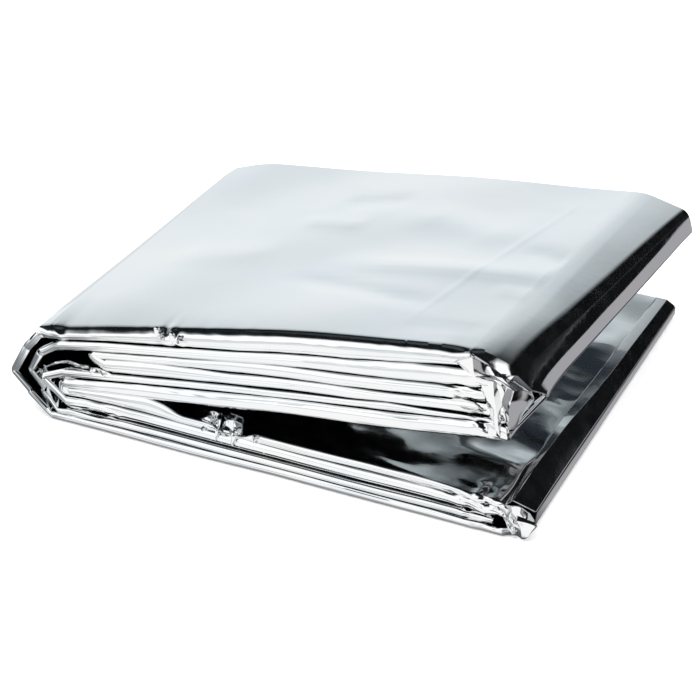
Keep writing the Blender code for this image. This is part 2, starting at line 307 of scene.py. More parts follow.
# Soft ridges, and troughs where the height is negative, as (x, y) from their start to their end.
Ridge = namedtuple("Ridge", "start to width height")
RIDGE_TAPER = 0.3  # the share of its length over which a ridge runs out at each end
TOP_RIDGES = (
    Ridge((38.0, 78.0), (60.0, 84.0), 4.5, -0.34),
    Ridge((33.0, 66.0), (54.0, 65.0), 3.2, 0.26),
    Ridge((44.0, 33.0), (92.0, 20.5), 3.0, -0.36),
    Ridge((50.0, 42.0), (118.0, 43.5), 4.5, 0.46),
    Ridge((56.0, 77.0), (96.0, 62.0), 8.0, 0.50),
    Ridge((99.1, 101.0), (84.2, 3.0), 0.8, 0.07),
    Ridge((70.0, 84.4), (108.0, 88.2), 0.8, 0.07),
    Ridge((78.0, 91.6), (108.0, 90.6), 0.8, 0.07),
    Ridge((82.0, 8.5), (108.0, 12.4), 1.6, -0.16),
    Ridge((93.0, 59.5), (118.0, 48.5), 4.0, -0.34),
    Ridge((96.0, 34.5), (114.0, 30.0), 2.0, 0.20),
    Ridge((10.0, 40.0), (40.0, 46.0), 6.0, 0.22),
)
INSIDE_RIDGES = (
    Ridge((95.0, 14.5), (117.0, 15.0), 3.0, 0.50),
    Ridge((82.0, 6.0), (99.0, 13.5), 1.6, 0.26),
    Ridge((66.0, 10.0), (92.0, 13.0), 2.2, 0.24),
    Ridge((99.0, 5.0), (114.0, 3.2), 1.2, 0.20),
    Ridge((104.0, 26.0), (117.0, 22.5), 2.4, -0.34),
    Ridge((99.0, 43.0), (117.0, 39.5), 4.0, 0.40),
    Ridge((101.0, 57.5), (117.0, 53.5), 4.0, -0.42),
    Ridge((102.0, 72.0), (117.0, 75.5), 5.5, 0.40),
)


def mix(a, b, share):
    return a + (b - a) * share


def smooth(low, high, value):
    """0 below low, 1 above high, and a smooth rise between."""
    share = np.clip((value - low) / (high - low), 0.0, 1.0)
    return share * share * (3 - 2 * share)


# ---------------------------------------------------------------- the strip's section
def face_height(face, x):
    return face.start + face.rise * x - face.arch * x * x


def lower_top(x, v):
    """Height of the lower leaf's upper face. v runs from 0 at the front to 1 at the back."""
    pinch = HINGE_PINCH * np.exp(-np.maximum(x, 0.0) / HINGE_PINCH_RUN)
    front = LOWER_HEIGHT_FRONT - pinch - RIGHT_DROOP * smooth(*RIGHT_DROOP_SPAN, x)
    return mix(front, LOWER_HEIGHT_BACK, v)


def leaf_span(leaf, x, v):
    """The heights of a leaf's lower and upper faces."""
    if leaf == "lower":
        return 0.0, lower_top(x, v)
    base = mix(face_height(UPPER_BASE_FRONT, x), face_height(UPPER_BASE_BACK, x), v)
    return base, mix(face_height(UPPER_TOP_FRONT, x), face_height(UPPER_TOP_BACK, x), v)


def pass_points(name, v, leftwards):
    """A pass's stations as arrays of x, middle height and thickness, one row a station."""
    run = PASSES[name]
    shares = np.arange(run.steps + 1)[:, None] / run.steps
    shares = shares - END_CROWDING * np.sin(2 * math.pi * shares)
    x = mix(run.left, mix(run.right, run.right_back, v), shares)
    base, top = leaf_span(run.leaf, x, v)
    even = (1 + BACK_GAP_SHARE) / PASSES_IN_LEAF[run.leaf]
    low_back = run.level * even
    closer = np.exp(-((v * LEAF_DEPTH / FRONT_LINES_RUN) ** 2))
    low = mix(run.low, low_back, v)
    high = mix(run.high, low_back + even - BACK_GAP_SHARE, v)
    for (above, below), line in FRONT_LINES.items():
        places, shares_up, widths = np.array(line).T
        middle, half = np.interp(x, places, shares_up), np.interp(x, places, widths) / 2
        if name == above:
            low = mix(low, middle + half, closer)
        if name == below:
            high = mix(high, middle - half, closer)
    low, high = mix(base, top, low), mix(base, top, high)
    if name == "lower_1":
        reach = leaf_span("upper", x, v)[0] - SWELL_GAP
        high = mix(high, reach, closer * (1 - smooth(*SPLIT_OPENS, x)))
        high = high - NOTCH_DEPTH * closer * np.exp(-(((x - NOTCH_PLACE) / NOTCH_HALF_WIDTH) ** 4))
    points = np.stack((x, (low + high) / 2, high - low))
    return points[:, ::-1] if leftwards else points


def bezier(points, steps):
    """The inner points of a cubic curve. A point is (x, z), each an array over the rows."""
    t = ((np.arange(steps) + 1) / (steps + 1))[:, None]
    parts = ((1 - t) ** 3, 3 * t * (1 - t) ** 2, 3 * t * t * (1 - t), t**3)
    return np.stack([sum(part * point[axis] for part, point in zip(parts, points)) for axis in (0, 1)])


def with_waist(points, start, end, waist):
    """Adds the thickness to a turn's points: the passes' own at its ends, and waist between them."""
    share = ((np.arange(points.shape[1]) + 1) / (points.shape[1] + 1))[:, None]
    plain = mix(start, end, share)
    thick = mix(plain, np.minimum(plain, waist), 1 - (2 * share - 1) ** 4)
    return np.concatenate((points, thick[None]))


def fold(start, end, side):
    """A round turn to the right, where side is 1, or to the left, where it is -1."""
    handle = side * np.abs(end[1] - start[1]) * FOLD_HANDLE
    curve = (start[:2], (start[0] + handle, start[1]), (end[0] + handle, end[1]), end[:2])
    return with_waist(bezier(curve, FOLD_STEPS), start[2], end[2], math.inf)


def rounded_path(points, roundings, steps):
    """The points after the first of a path whose inner corners are rounded, up to its last but one."""
    path = np.stack([np.stack(np.broadcast_arrays(*point)) for point in points])
    curves = []
    for corner, before, after, rounding in zip(path[1:-1], path, path[2:], roundings):
        into, out = corner - before, after - corner
        into, out = (leg / np.maximum(np.hypot(*leg), LEAST_LENGTH) for leg in (into, out))
        ends = (corner - into * rounding, corner + out * rounding)
        t = ((np.arange(steps) + 0.5) / steps)[:, None, None]
        curves.append((1 - t) ** 2 * ends[0] + 2 * t * (1 - t) * corner + t * t * ends[1])
    return np.concatenate(curves).transpose(1, 0, 2)


def hinge(start, end, turn, v):
    """A turn at the hinge: straight plies between its creases."""
    corners = [tuple(mix(*pair, v) for pair in zip(*ends)) for ends in zip(turn.front, turn.back)]
    if np.all(start[1] > end[1]):
        corners = corners[::-1]
    steps = HINGE_STEPS // len(corners)
    path = rounded_path([start[:2], *corners, end[:2]], [HINGE_ROUNDING] * len(corners), steps)
    return with_waist(path, start[2], end[2], np.minimum(TURN_WAIST, np.minimum(start[2], end[2])))


def wrap_skin(start, end, v, inner):
    """The outer or the inner side of the turn at the right of the upper leaf, from pass to pass."""
    flare = (0.0, 0.0, 0.0, WRAP_FLARE * np.exp(-v * LEAF_DEPTH / WRAP_FLARE_RUN), 0.0)
    path = [start]
    for corner, more in zip(WRAP_CORNERS, flare):
        x, z = (mix(front, back, v) + inner * step for front, back, step in zip(*corner[:3]))
        path.append((x + more, z))
    return rounded_path(path + [end], [mix(*corner.rounding, v) for corner in WRAP_CORNERS], WRAP_STEPS)


def upper_wrap(start, end, v):
    """The middle line of that turn. Its two sides are laid more closely later, by wrap_skin."""
    sides = [wrap_skin(start[:2], end[:2], v, inner) for inner in (0, 1)]
    middle = (sides[0] + sides[1]) / 2
    return with_waist(middle, start[2], end[2], TURN_WAIST)


def lip(end, v):
    """The film's free end, from its edge to the lowest pass."""
    rise = LIP_RISE * smooth(*LIP_GROWS, v) * (1 - smooth(*LIP_FADES, v))
    right = mix(*LIP_STRIP_RIGHT, v)
    left = right - mix(*LIP_STRIP_WIDTH, smooth(*LIP_STRIP_WIDENS, v))
    level = lower_top(right, v) + rise
    path = [(left + LIP_EDGE[0], level + LIP_EDGE[1]), (left, level), (right, level)]
    path += [tuple(mix(*pair, v) for pair in corner) for corner in (LIP_FOOT, LIP_UNDER, LIP_HEEL)]
    turn = rounded_path(path + [end[:2]], LIP_ROUNDINGS, LIP_STEPS)
    turn = with_waist(turn, LIP_THICKNESS, end[2], LIP_THICKNESS)
    start = np.stack(np.broadcast_arrays(*path[0], LIP_THICKNESS))[:, None]
    return np.concatenate((start, turn), axis=1)


def turn_points(turn, start, end, v):
    """The stations of one turn between two passes, like pass_points."""
    if turn == "lip":
        return lip(end, v)
    if turn == "fold":
        return fold(start, end, 1 if start[0][0] > PACKET_MIDDLE else -1)
    if turn == "upper_wrap":
        return upper_wrap(start, end, v)
    return hinge(start, end, turn, v)


# The middle line: x, height and thickness at each station and depth, and each station's front edge and name.
Strip = namedtuple("Strip", "x z thick front names")


def section(v):
    """The strip at each depth in v, as arrays of stations by depths."""
    names = [step for step in ROUTE if step in PASSES]
    runs = {name: pass_points(name, v, number % 2 == 0) for number, name in enumerate(names)}
    stretches, fronts, labels = [], [], []
    for place, step in enumerate(ROUTE):
        if step in PASSES:
            count = runs[step].shape[1]
            stretches.append(runs[step])
            fronts += [PASSES[step].front] * count
            labels += [step] * count
            continue
        before, after = ROUTE[max(place - 1, 1)], ROUTE[place + 1]
        turn = turn_points(step, runs[before][:, -1], runs[after][:, 0], v)
        count = turn.shape[1]
        stretches.append(turn)
        shares = (np.arange(count) + 1) / (count + 1)
        fronts += list(mix(PASSES[before].front, PASSES[after].front, shares))
        labels += [step if isinstance(step, str) else "hinge"] * count
    x, z, thick = np.concatenate(stretches, axis=1)
    return Strip(x, z, thick, np.array(fronts)[:, None], np.array(labels))


# ---------------------------------------------------------------- the ring of points round the strip
# For each point: its depth as a share of the leaf's, and in mm behind that, its number across the front edge
# (0 on the outer side, -1 at the back), and its side, from 1 on the outer one to -1 on the inner one.
Ring = namedtuple("Ring", "share near edge side")


def groove_steps():
    """How many steps lie between one anchor of the front edge and the next: side, groove, side, ..."""
    steps = []
    for _ in range(GROOVES_ON_EDGE):
        steps += [POINTS_BETWEEN_GROOVES, POINTS_IN_GROOVE, POINTS_IN_GROOVE]
    return steps + [POINTS_BETWEEN_GROOVES]


EDGE_POINTS = sum(groove_steps()) - 1


def ring_round_strip():
    """The points round the strip: its outer side from the back, its front edge, its inner side from the
    front and its back edge."""
    middle = [np.linspace(*MIDDLE_SPAN, count) for count in (OUTER_MIDDLE_ROWS, INNER_MIDDLE_ROWS)]
    outer = len(OUTER_NEAR_ROWS) + 1
    inner = len(INNER_NEAR_ROWS) + 1
    back = np.linspace(1, -1, BACK_POINTS + 2)[1:-1]
    share = [
        1.0, *middle[0][::-1], *[0.0] * (outer + EDGE_POINTS + inner), *middle[1], 1.0, *[1.0] * BACK_POINTS,
    ]
    near = [
        *[0.0] * (OUTER_MIDDLE_ROWS + 1), *OUTER_NEAR_ROWS[::-1], *[0.0] * (EDGE_POINTS + 2),
        *INNER_NEAR_ROWS, *[0.0] * (INNER_MIDDLE_ROWS + 1 + BACK_POINTS),
    ]
    first = OUTER_MIDDLE_ROWS + 1 + outer
    last = len(share) - first - EDGE_POINTS - BACK_POINTS
    edge = np.arange(EDGE_POINTS + 2)
    edge = [*[0] * (first - 1), *edge, *[EDGE_POINTS + 1] * (last - 1), *[-1] * BACK_POINTS]
    side = [*[1.0] * first, *[0.0] * EDGE_POINTS, *[-1.0] * last, *back]
    return Ring(*[np.array(column)[None] for column in (share, near, edge, side)])


def groove_anchors(strip, places):
    """Where each station's grooves begin, lie deepest and end, across its front edge from 0 to 1."""
    thick = strip.thick[:, -1]
    half = np.minimum(GROOVE_HALF_WIDTH / np.maximum(thick, LEAST_THICKNESS), GROOVE_SHARE)
    anchors = [np.zeros_like(half)]
    for place in places.T:
        anchors += [place - half, place, place + half]
    return np.stack(anchors + [np.ones_like(half)], axis=1)


def waves(x, phase, parts):
    """The sum of some waves along x."""
    return sum(part.height * np.sin(x / part.length + part.turn * phase) for part in parts)


def smoothed(values):
    """The running mean of values along the strip."""
    padded = np.pad(values, SMOOTHING_REACH, mode="edge")
    count = 2 * SMOOTHING_REACH + 1
    return np.convolve(padded, np.ones(count) / count, mode="valid")


def groove_tables(strip):
    """Each station's groove places and depths. Both wander along the strip."""
    x = strip.x[:, -1]
    places, depths = [], []
    for number in range(GROOVES_ON_EDGE):
        grooves = [GROOVES.get(name, GROOVES["turn"])[number] for name in strip.names]
        place, depth = (smoothed(np.array(column)) for column in zip(*grooves))
        phase = GROOVE_PHASES[0] * number + strip.front[:, 0] * GROOVE_PHASES[1]
        deepens = np.clip(GROOVE_MEAN_DEPTH + waves(x, phase, GROOVE_DEEPENS), *GROOVE_DEPTH_SPAN)
        places.append(place + waves(x, phase, GROOVE_WANDERS))
        depths.append(depth * deepens)
    return np.stack(places, axis=1), np.stack(depths, axis=1)


def crown_depth(strip):
    """How far the bulge of the front edge stands forward."""
    return np.minimum(EDGE_DEPTH, EDGE_BULGE * strip.thick + EDGE_LEAST)


def front_edge(strip, ring):
    """(place across the front edge from 0 to 1, how far back from the bulge's crown) for every point."""
    places, depths = groove_tables(strip)
    anchors = groove_anchors(strip, places)
    at = np.concatenate(([0], np.cumsum(groove_steps())))
    across = np.stack([np.interp(ring.edge[0], at, row) for row in anchors])
    back = crown_depth(strip) * (1 - 4 * across * (1 - across))
    half = (anchors[:, 2] - anchors[:, 1])[:, None]
    for place, depth in zip(places.T, depths.T):
        away = np.abs(across - place[:, None]) / half
        back = back + depth[:, None] * np.clip(1 - away, 0, 1) ** GROOVE_BEND
    return across, back


def ripple(x, y, z):
    """How far the slow ripple lifts the film."""
    columns, rows = (
        np.sin(along / length + phase) for along, length, phase in zip((x, y), RIPPLE_LENGTHS, RIPPLE_PHASES))
    slant = np.sin(x / SLANT_LENGTHS[0] - y / SLANT_LENGTHS[1] + SLANT_PHASE)
    return RIPPLE_HEIGHT * (columns * rows + SLANT_SHARE * slant) * smooth(*RIPPLE_GROWS, z)


def front_corner(x, z):
    """How far back the front edges lie at the right corners."""
    low = np.maximum(UPPER_CORNER_HEIGHT - z, 0.0) * smooth(*UPPER_CORNER_SPAN, x)
    upper = np.maximum(x - UPPER_CORNER_SPAN[0], 0.0) + UPPER_CORNER_RISE * low
    lower = LOWER_CORNER_RISE * z * np.maximum(x - LOWER_CORNER_FROM, 0.0)
    for step, start, end in LOWER_CORNER_STEPS:
        lower = lower + step * smooth(start, end, x)
    return np.where(z > SPLIT_HEIGHT, upper, lower)


def back_corner(x):
    """How far forward the back edge lies at the left corner."""
    return BACK_CORNER_DEPTH * (1 - smooth(*BACK_CORNER_SPAN, x)) ** BACK_CORNER_BEND


def in_pass(strip, *names):
    """1 on the stations of the passes with these names, as a column."""
    return np.isin(strip.names, names)[:, None].astype(float)


def slope(depth, run):
    """1 at the front edge, falling to 0 at run mm behind it."""
    return np.clip(1 - depth / run, 0, 1) ** SLOPE_BEND


def bevelled(strip, depth):
    """Slopes the top ply's outer side down to a crease along its front edge."""
    bevel = BEVEL_DROP * slope(depth, BEVEL_RUN) * smooth(*BEVEL_GROWS, strip.x)
    sag = TOP_SAG * smooth(*TOP_SAG_GROWS, strip.x) * (1 - TOP_SAG_LOST * smooth(*TOP_SAG_FADES, strip.x))
    drop = (bevel + sag * np.exp(-depth / TOP_SAG_RUN)) * (1 - smooth(*BEVEL_FADES, strip.x))
    drop = drop * in_pass(strip, "upper_1")
    return strip._replace(z=strip.z - drop / 2, thick=strip.thick - drop)


def corner_drop(x, z, depth):
    """How far the outer side folds down towards the front at the upper leaf's right corner."""
    share = (1 - smooth(*CORNER_DROP_TO, x)) * (z > SPLIT_HEIGHT)
    drop = CORNER_DROP * smooth(*CORNER_DROP_FROM, x) * slope(depth, CORNER_DROP_RUN)
    return share * (drop + CORNER_SAG * smooth(*CORNER_SAG_FROM, x) * np.exp(-depth / CORNER_SAG_RUN))


def facets(u, w, size, seed):
    """Flat triangular facets between random heights, from -1 to 1, with a corner every size mm."""
    heights = np.random.default_rng(seed).uniform(-1, 1, (FACET_TABLE, FACET_TABLE))
    u, w = u / size, w / size
    shift_u = FACET_WANDER * np.sin(FACET_BENDS[0] * w + seed) + FACET_SLANT * w
    shift_w = FACET_WANDER * np.sin(FACET_BENDS[1] * u + 2 * seed)
    u, w = u + shift_u, w + shift_w
    column, row = np.floor(u).astype(int), np.floor(w).astype(int)
    share_u, share_w = u - column, w - row

    def height(step_u, step_w):
        return heights[(column + step_u) % FACET_TABLE, (row + step_w) % FACET_TABLE]

    near, far = height(0, 0), height(1, 1)
    beside, above = height(1, 0), height(0, 1)
    lower = near + share_u * (beside - near) + share_w * (above - near)
    upper = far + (1 - share_u) * (above - far) + (1 - share_w) * (beside - far)
    return np.where(share_u + share_w < 1, lower, upper)


def creased(layers, u, w):
    """The height of layers of random facets, each stretched along u."""
    return sum(layer.height * facets(u / layer.stretch, w, layer.size, layer.seed) for layer in layers)


def ridge_height(ridge, u, w):
    """A soft ridge, or a trough if its height is negative, that runs out towards both of its ends."""
    run_u, run_w = ridge.to[0] - ridge.start[0], ridge.to[1] - ridge.start[1]
    length = math.hypot(run_u, run_w)
    along_it = ((u - ridge.start[0]) * run_u + (w - ridge.start[1]) * run_w) / length**2
    off = ((w - ridge.start[1]) * run_u - (u - ridge.start[0]) * run_w) / length
    taper = smooth(0, RIDGE_TAPER, along_it) * smooth(0, RIDGE_TAPER, 1 - along_it)
    return ridge.height * taper * np.exp(-((off / ridge.width) ** 2))


def front_crumple(x, z):
    """How far the crumpled zones push the front edges in and out."""
    height = creased(FRONT_CREASES, x, z)
    for zone in FRONT_CRUMPLES:
        away = ((x - zone.x) / zone.reach_x) ** 2 + ((z - zone.z) / zone.reach_z) ** 2
        height = height + zone.height * np.exp(-(away**2)) * facets(x, z, zone.size, zone.seed)
    return height


def wrinkles(points, strip, ring, depth):
    """How far every point moves out along its normal, in mm."""
    x, y, z = points[..., 0], points[..., 1], points[..., 2]
    front = np.exp(-((depth / FRONT_CREASES_REACH) ** 2)) * front_crumple(x, z)
    behind = smooth(*BEHIND_FRONT, depth)
    top = sum(ridge_height(ridge, x, y) for ridge in TOP_RIDGES) + creased(TOP_CREASES, x, y)
    calm = mix(INSIDE_CALM, 1.0, smooth(*INSIDE_CREASES_GROW, x))
    inside = sum(ridge_height(ridge, x, y) for ridge in INSIDE_RIDGES) + creased(INSIDE_CREASES, x, y) * calm

    outer = behind * in_pass(strip, "upper_1") * top
    outer = outer + smooth(*BEHIND_INSIDE_FRONT, depth) * in_pass(strip, "lower_1") * inside
    outer = outer + behind * in_pass(strip, "upper_6") * creased(UNDER_CREASES, x, y)
    outer = outer + behind * in_pass(strip, "upper_wrap", "lip") * creased(SIDE_CREASES, y, z)
    return front + (ring.edge == 0) * outer


def run_of(strip):
    """The direction of the middle line at each station, worked out on each pass and turn by itself."""
    ends = np.flatnonzero(strip.names[1:] != strip.names[:-1]) + 1
    parts = []
    for first, last in zip([0, *ends], [*ends, len(strip.names)]):
        parts.append([np.gradient(line[first:last], axis=0) for line in (strip.x, strip.z)])
    run = np.concatenate(parts, axis=1)
    return run / np.hypot(*run)


def film_points():
    """Every point of the film in mm, as an array of stations by ring by 3, and its strip."""
    ring = ring_round_strip()
    depth = ring.share * LEAF_DEPTH + ring.near
    v = (depth / LEAF_DEPTH)[0]
    strip = bevelled(section(v), depth)
    run_x, run_z = run_of(strip)
    outer = np.stack((strip.x - run_z * strip.thick / 2, strip.z + run_x * strip.thick / 2))
    inner = np.stack((strip.x + run_z * strip.thick / 2, strip.z - run_x * strip.thick / 2))
    turn = np.flatnonzero(strip.names == "upper_wrap")
    for number, skin in enumerate((outer, inner)):
        skin[:, turn] = wrap_skin(skin[:, turn[0] - 1], skin[:, turn[-1] + 1], v, number)

    across, back = front_edge(strip, ring)
    in_front = (ring.edge > 0) & (ring.edge <= EDGE_POINTS)
    x, z = mix(outer, inner, np.where(in_front, across, (1 - ring.side) / 2))

    front_y = strip.front + waves(strip.x, strip.front, FRONT_SWAYS) + front_corner(strip.x, strip.z)
    back_y = LEAF_DEPTH - back_corner(strip.x)
    y = mix(front_y + np.where(in_front, back, crown_depth(strip)), back_y, ring.share) + ring.near
    y = y + np.where(ring.edge == -1, BACK_BULGE * (1 - ring.side**2), 0.0)
    outward = np.where(in_front, 1 - across, (1 + ring.side) / 2)
    z = z - outward * corner_drop(x, z, depth) * in_pass(strip, "upper_1", "upper_wrap")
    z = z + ripple(x, y, strip.z)
    points = np.stack((x, y, z), axis=2)

    along_strip = np.gradient(points, axis=0)
    round_it = np.roll(points, -1, axis=1) - np.roll(points, 1, axis=1)
    normals = np.cross(round_it, along_strip)
    normals /= np.maximum(np.linalg.norm(normals, axis=2, keepdims=True), LEAST_LENGTH)
    points = points + normals * wrinkles(points, strip, ring, depth)[..., None]
    points[..., 2] = np.maximum(points[..., 2], 0.0)
    return points, strip


# ---------------------------------------------------------------- mesh and materials
CREASE_ANGLE = math.radians(28)  # where faces meet more sharply than this, the film is creased
SAME_POINT = 1e-7  # in metres

# The scales of the film's patterns, as repeats in a metre, and the parts of each pattern's range in use.
COAT_PATCHES = 35.0
COAT_SPAN = (0.35, 0.65)
HAZE_SMEARS = 160.0
HAZE_SPAN = (0.35, 0.7)
COCKLES = 450.0
COCKLE_DEPTH = 0.00003  # in metres
COCKLE_STRENGTH = 0.25

# A colour of a ramp: its place, its hex or sRGB colour and, where it isn't 1, its strength.
Stop = namedtuple("Stop", "value colour strength", defaults=(1.0,))


def srgb(hex_colour):
    """The three sRGB values, from 0 to 1, of a hex colour."""
    return tuple(int(hex_colour[place : place + 2], 16) / 255 for place in (1, 3, 5))


def linear(colour):
    """The linear RGBA of a hex colour, or of three sRGB values."""
    values = srgb(colour) if isinstance(colour, str) else colour
    return (*(v / 12.92 if v <= 0.04045 else ((v + 0.055) / 1.055) ** 2.4 for v in values), 1.0)


def add_node(tree, kind, settings=None, values=None, links=None):
    """Adds a node with its settings, its sockets' values and the sockets that feed it."""
    node = tree.nodes.new(kind)
    for name, value in (settings or {}).items():
        setattr(node, name, value)
    for name, value in (values or {}).items():
        node.inputs[name].default_value = value
    for name, source in (links or {}).items():
        tree.links.new(source, node.inputs[name])
    return node


def ramp(tree, source, stops, low=0.0, high=1.0):
    """A colour for a value from low to high."""
    place = add_node(
        tree, "ShaderNodeMapRange", None, {"From Min": low, "From Max": high}, {"Value": source})
    made = add_node(tree, "ShaderNodeValToRGB", links={"Fac": place.outputs["Result"]})
    elements = made.color_ramp.elements
    while len(elements) < len(stops):
        elements.new(0.5)
    for element, stop in zip(elements, (Stop(*each) for each in stops)):
        element.position = (stop.value - low) / (high - low)
        element.color = (*[channel * stop.strength for channel in linear(stop.colour)[:3]], 1.0)
    return made.outputs["Color"]


def strip_mesh(name, points):
    """A closed mesh through an array of points, stations by ring, with both of its ends capped."""
    stations, round_count = points.shape[:2]
    cloth = bmesh.new()
    bmesh.ops.create_grid(cloth, x_segments=round_count, y_segments=stations - 1, size=1.0)
    mesh = bpy.data.meshes.new(name)
    cloth.to_mesh(mesh)
    cloth.free()
    closed = np.concatenate((points, points[:, :1]), axis=1) * MM + TABLE_ORIGIN
    mesh.vertices.foreach_set("co", closed.astype(np.float32).ravel())
    cloth = bmesh.new()
    cloth.from_mesh(mesh)
    bmesh.ops.remove_doubles(cloth, verts=cloth.verts, dist=SAME_POINT)
    open_edges = [edge for edge in cloth.edges if edge.is_boundary]
    bmesh.ops.holes_fill(cloth, edges=open_edges, sides=0)
    bmesh.ops.recalc_face_normals(cloth, faces=cloth.faces)
    cloth.to_mesh(mesh)
    cloth.free()
    mesh.shade_smooth()
    mesh.set_sharp_from_angle(angle=CREASE_ANGLE)
    return mesh


def metallised_film_material(settings):
    """Polyester film, vacuum metallised with aluminium: a near-perfect mirror, faintly hazed by handling."""
    name = "vacuum_metallised_polyester_film"
    if name in bpy.data.materials:
        return bpy.data.materials[name]
    material = bpy.data.materials.new(name)
    material.use_nodes = True
    tree = material.node_tree
    shader = tree.nodes["Principled BSDF"]
    shader.inputs["Metallic"].default_value = 1.0
    where = add_node(tree, "ShaderNodeTexCoord")

    # The aluminium is a little thinner in places: faintly warm and cool patches some centimetres wide.
    coat = add_node(
        tree, "ShaderNodeTexNoise", None, {"Scale": COAT_PATCHES, "Detail": 2.0},
        {"Vector": where.outputs["Object"]})
    tints = list(zip(COAT_SPAN, (settings.film_cool, settings.film_warm)))
    tint = ramp(tree, coat.outputs["Fac"], tints)
    tree.links.new(tint, shader.inputs["Base Color"])

    # Handling hazes the mirror in soft smears, so that reflections are crisp here and milky there.
    smears = add_node(
        tree, "ShaderNodeTexNoise", None, {"Scale": HAZE_SMEARS, "Detail": 4.0, "Roughness": 0.6},
        {"Vector": where.outputs["Object"]})
    spans = {"From Min": HAZE_SPAN[0], "From Max": HAZE_SPAN[1]}
    spans.update({"To Min": settings.least_haze, "To Max": settings.most_haze})
    haze = add_node(tree, "ShaderNodeMapRange", None, spans, {"Value": smears.outputs["Fac"]})
    tree.links.new(haze.outputs["Result"], shader.inputs["Roughness"])

    # The film's cockle: a wave of a few hundredths of a millimetre that makes straight reflections tremble.
    cockle = add_node(
        tree, "ShaderNodeTexNoise", None, {"Scale": COCKLES, "Detail": 1.0},
        {"Vector": where.outputs["Object"]})
    bump = add_node(
        tree, "ShaderNodeBump", None, {"Strength": COCKLE_STRENGTH, "Distance": COCKLE_DEPTH},
        {"Height": cockle.outputs["Fac"]})
    tree.links.new(bump.outputs["Normal"], shader.inputs["Normal"])
    return material


# ---------------------------------------------------------------- tucks
# Crumpled film at the front of the right corners, the notch and the hinge. Each tuck is a grid of its
# facets' corners in mm, in rows from its top down and from left to right, as (x, y, z).
TUCKS = {
    "upper_corner_tuck": (
        ((101.8, 0.3, 41.7), (106.2, -0.9, 45.3), (109.1, 0.3, 43.3),
         (112.1, 0.4, 40.9), (114.0, 0.9, 41.3), (116.0, 2.8, 39.7)),
        ((103.5, 0.8, 40.1), (106.9, -1.2, 40.1), (109.8, -0.4, 40.9),
         (113.2, -1.0, 41.1), (114.5, 1.4, 39.6), (117.7, 4.3, 36.6)),
        ((106.6, 1.8, 36.5), (111.0, -0.4, 39.2), (112.6, 1.4, 37.6),
         (116.3, -1.8, 39.2), (116.8, 2.8, 36.6), (118.1, 5.9, 33.3)),
        ((108.7, 0.3, 34.9), (111.4, -0.9, 36.3), (112.5, 1.0, 34.7),
         (115.3, -0.9, 35.5), (116.2, 3.0, 33.5), (117.5, 7.7, 31.0)),
        ((109.5, 0.9, 30.9), (112.0, -0.8, 32.5), (112.9, 1.0, 30.7),
         (115.0, -1.2, 33.6), (115.9, 2.3, 30.7), (116.4, 6.5, 28.1)),
        ((110.5, 0.4, 26.2), (113.1, -0.9, 25.7), (112.8, 2.1, 27.2),
         (115.1, -0.8, 27.4), (115.2, 1.0, 26.2), (115.7, 3.2, 26.5)),
    ),
    "lower_corner_tuck": (
        ((111.6, 0.5, 6.6), (114.2, -0.4, 8.3), (115.7, 0.8, 7.6),
         (117.9, 0.5, 8.2), (120.1, 0.9, 6.7), (121.4, 1.3, 4.2)),
        ((112.8, -0.3, 6.7), (114.9, -0.9, 7.7), (116.1, 0.3, 6.2),
         (117.7, -0.1, 5.9), (119.7, 0.2, 5.5), (121.8, 0.6, 4.2)),
        ((113.2, 0.7, 4.8), (115.2, -0.3, 5.3), (116.2, 0.9, 4.0),
         (117.8, -0.9, 5.1), (119.8, -0.5, 4.9), (122.2, 0.0, 4.3)),
        ((114.8, -0.3, 4.1), (115.5, 0.9, 2.7), (117.3, -0.6, 3.1),
         (118.8, -1.0, 3.6), (120.1, -0.7, 3.2), (121.2, -0.4, 2.8)),
        ((115.4, 0.3, 0.9), (116.9, -0.7, 0.9), (117.7, 0.4, 0.2),
         (119.2, -1.0, 0.7), (119.8, -0.9, 0.8), (120.5, -0.8, 1.5)),
    ),
    "dark_blob": (
        ((101.4, 0.2, 32.0), (103.8, 0.1, 32.6), (106.5, 0.2, 32.3), (108.8, 0.2, 30.9)),
        ((102.0, 0.9, 30.4), (103.5, 2.0, 29.9), (106.0, 1.6, 30.3), (108.3, 0.5, 30.2)),
        ((104.5, -0.4, 30.5), (105.8, -0.2, 30.5), (107.8, -0.5, 30.8), (109.0, -0.3, 30.7)),
    ),
    "dent_facets": (
        ((44.6, 2.5, 10.6), (46.2, 2.5, 11.8), (47.4, 3.0, 11.3), (48.7, 4.0, 10.2)),
        ((44.6, 1.5, 9.3), (47.1, 0.2, 11.6), (48.1, 1.6, 10.7), (49.5, 2.4, 9.2)),
        ((44.4, 0.8, 7.4), (46.1, 1.4, 7.0), (48.9, -0.1, 9.2), (49.9, 1.0, 7.7)),
        ((44.4, 0.2, 6.4), (46.6, -0.2, 7.0), (48.3, 0.6, 7.0), (50.0, 0.2, 7.7)),
    ),
    "dent_left_facets": (
        ((37.6, 3.0, 8.9), (40.0, 3.0, 10.9), (42.3, 3.0, 11.0), (43.9, 3.0, 10.6)),
        ((38.7, 1.5, 8.5), (41.3, 0.5, 10.6), (42.2, 2.2, 9.3), (44.7, 0.8, 10.5)),
        ((39.8, 0.3, 7.6), (41.1, 1.2, 7.7), (43.3, 0.0, 8.4), (44.2, 0.6, 7.8)),
    ),
    "hinge_facets": (
        ((10.9, 1.0, 15.9), (12.8, 0.2, 16.6), (14.8, 0.6, 16.4), (18.3, 0.4, 15.4)),
        ((11.2, 0.2, 14.9), (12.9, 1.3, 15.2), (15.0, -0.2, 15.3), (18.2, 0.5, 15.0)),
        ((11.6, 0.7, 13.9), (13.2, 0.3, 14.2), (15.0, 0.9, 14.1), (18.0, 0.4, 14.5)),
    ),
}

